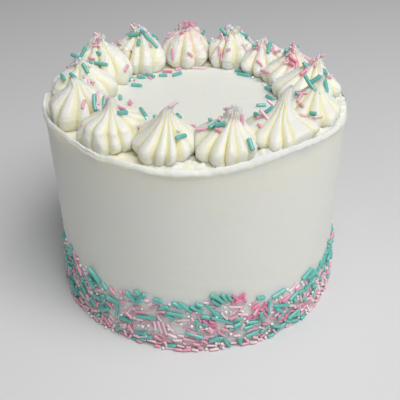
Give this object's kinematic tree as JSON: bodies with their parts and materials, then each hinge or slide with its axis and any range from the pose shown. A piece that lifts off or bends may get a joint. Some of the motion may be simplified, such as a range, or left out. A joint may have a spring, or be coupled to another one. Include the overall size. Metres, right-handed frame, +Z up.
{
  "type": "gender reveal cake",
  "caption": "Round iced layer cake, uncut, with a ragged icing lip, a crown of star-piped buttercream swirls on top and a band of rod and pearl sprinkles round its foot",
  "frame": {"origin": "middle of the flat base that the cake stands on, on its upright axis", "axes": "+Z up along the cake's axis, -Y towards the front that the picture shows, +X to the right"},
  "size_m": [0.1632, 0.1631, 0.1329],
  "materials": {
    "buttercream": "smooth scraped vanilla buttercream, satin, slightly translucent",
    "piped_buttercream": "piped vanilla buttercream, satin, creamier yellow in its pleats"
  },
  "bodies": {
    "root": {"cake": "buttercream", "swirl_01": "piped_buttercream", "swirl_02": "piped_buttercream", "swirl_03": "piped_buttercream", "swirl_04": "piped_buttercream", "swirl_05": "piped_buttercream", "swirl_06": "piped_buttercream", "swirl_07": "piped_buttercream", "swirl_08": "piped_buttercream", "swirl_09": "piped_buttercream", "swirl_10": "piped_buttercream", "swirl_11": "piped_buttercream", "swirl_12": "piped_buttercream", "swirl_13": "piped_buttercream", "swirl_14": "piped_buttercream"}
  },
  "joints": []
}
